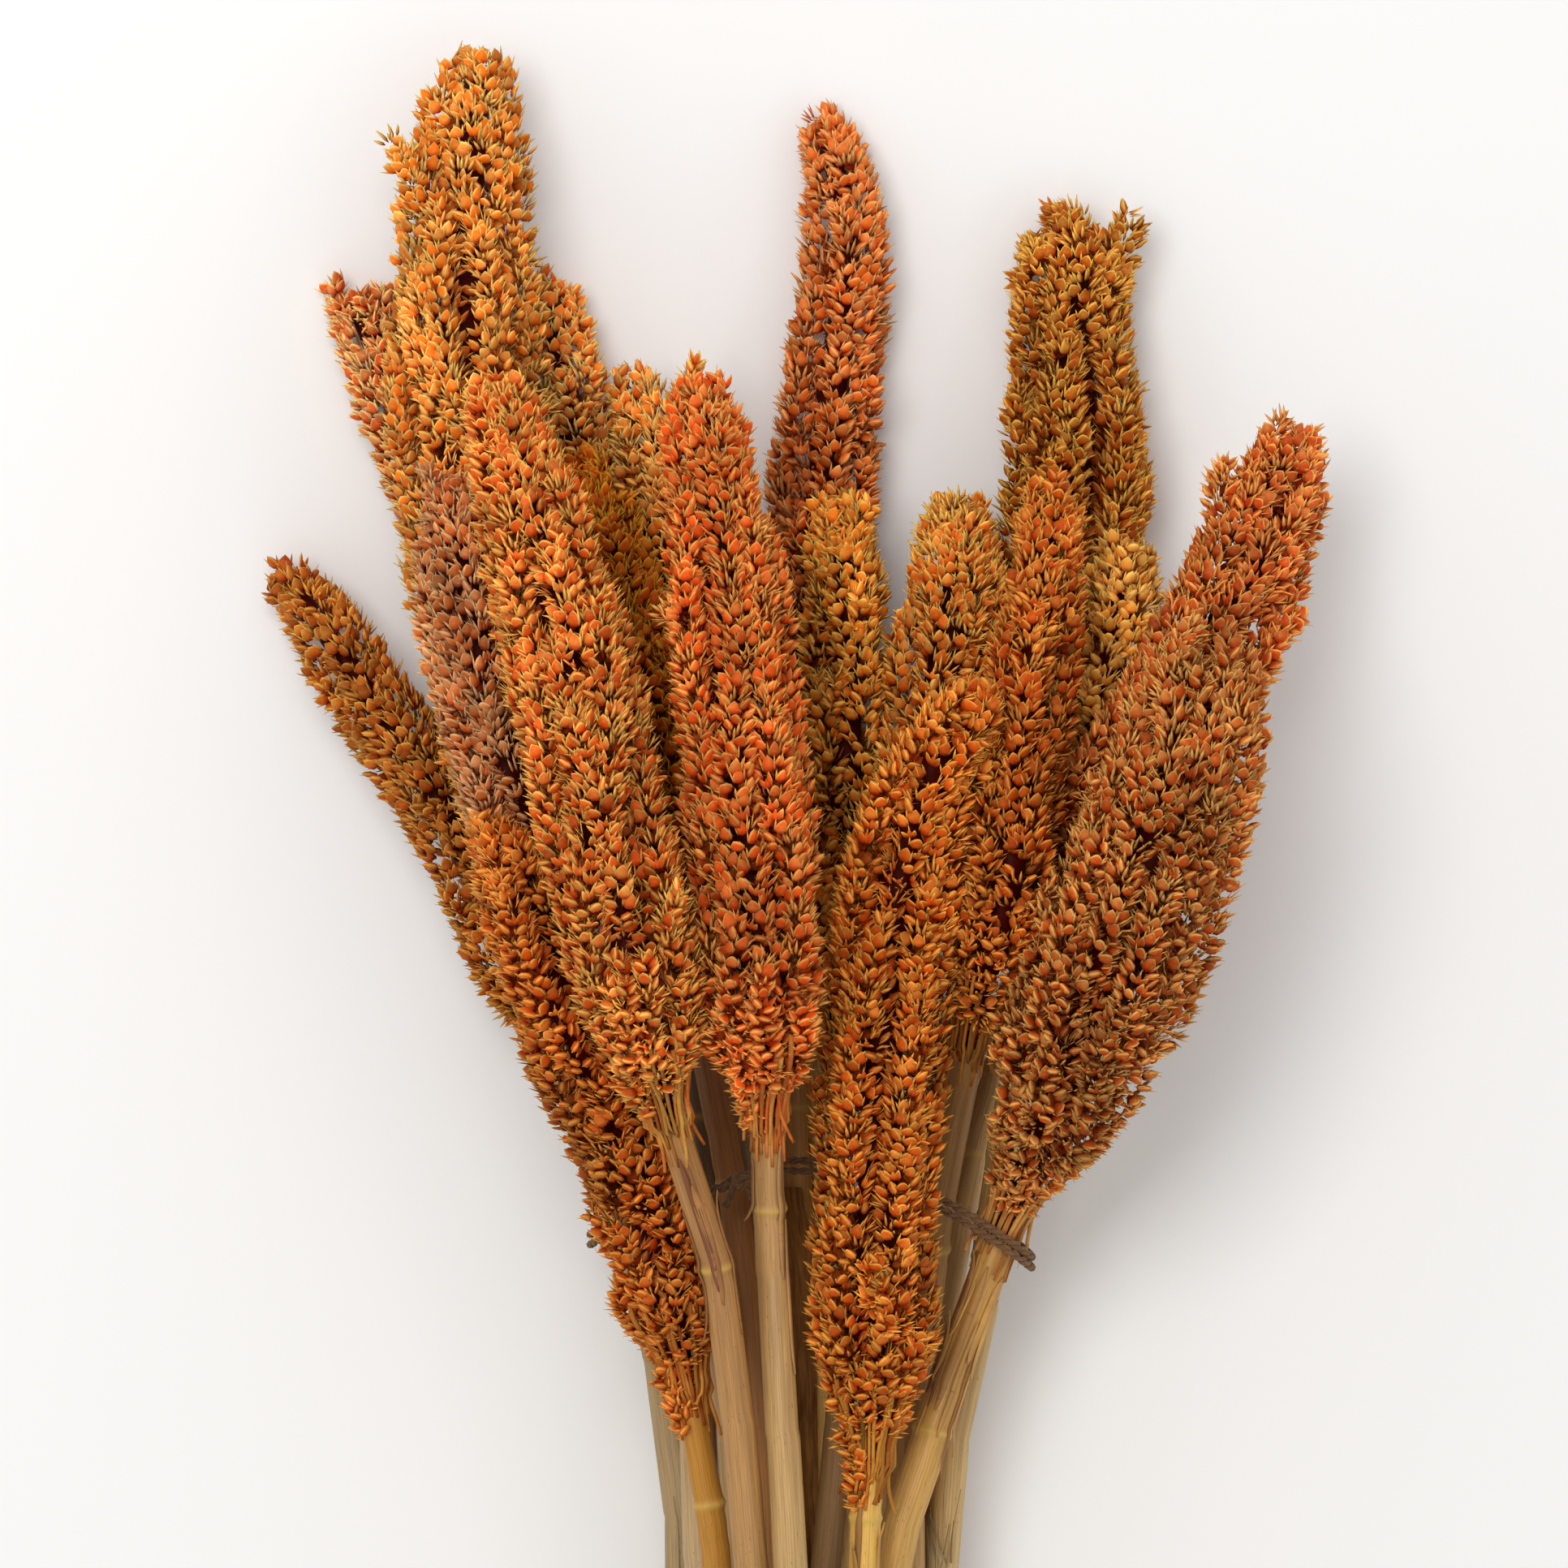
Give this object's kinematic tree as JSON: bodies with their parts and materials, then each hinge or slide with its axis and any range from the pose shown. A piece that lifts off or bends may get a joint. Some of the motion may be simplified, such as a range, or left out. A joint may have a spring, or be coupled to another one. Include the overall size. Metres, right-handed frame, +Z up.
{
  "type": "bundle of dried grass",
  "caption": "Tied bunch of dyed dried sorghum grass lying flat: long dense seed heads in gold, rust and orange-brown fan out from straw stems bound with twine.",
  "frame": {"origin": "on the resting surface, under the middle of the bunch's bounding box", "axes": "+Y along the bunch from the cut ends to the tips of the seed heads, +Z up from the resting surface, +X across the bunch"},
  "size_m": [0.2994, 0.6522, 0.1385],
  "materials": {
    "seed_gold": "dyed gold, satin grains in paler dry husks",
    "seed_brown": "dyed golden brown, satin grains in paler dry husks",
    "seed_rust": "dyed rust red-brown, satin grains in paler dry husks",
    "seed_coral": "dyed bright orange-red, satin grains in paler dry husks",
    "seed_mauve": "dyed dusty pinkish brown, satin grains in paler dry husks",
    "straw": "satin dried straw with long fine grain, orange-tan near the heads",
    "leaf_sheath": "dull papery dry leaf",
    "twine": "matt twisted two-ply natural twine"
  },
  "bodies": {
    "root": {"stem_c": "straw", "seed_head_c": "seed_rust", "stem_d": "straw", "seed_head_d": "seed_brown", "stem_k": "straw", "seed_head_k": "seed_rust", "leaf_sheath_k": "leaf_sheath", "stem_m": "straw", "seed_head_m": "seed_brown", "stem_i": "straw", "seed_head_i": "seed_brown", "stem_a": "straw", "seed_head_a": "seed_brown", "leaf_sheath_a": "leaf_sheath", "stem_p": "straw", "seed_head_p": "seed_gold", "stem_b": "straw", "seed_head_b": "seed_gold", "stem_j": "straw", "seed_head_j": "seed_brown", "stem_l": "straw", "seed_head_l": "seed_gold", "stem_n": "straw", "seed_head_n": "seed_gold", "stem_f": "straw", "seed_head_f": "seed_mauve", "stem_q": "straw", "seed_head_q": "seed_rust", "leaf_sheath_q": "leaf_sheath", "stem_o": "straw", "seed_head_o": "seed_brown", "stem_r": "straw", "seed_head_r": "seed_rust", "stem_g": "straw", "seed_head_g": "seed_brown", "stem_e": "straw", "seed_head_e": "seed_coral", "stem_s": "straw", "seed_head_s": "seed_brown", "stem_h": "straw", "seed_head_h": "seed_coral", "twine_binding": "twine", "twine_knot": "twine"}
  },
  "joints": []
}
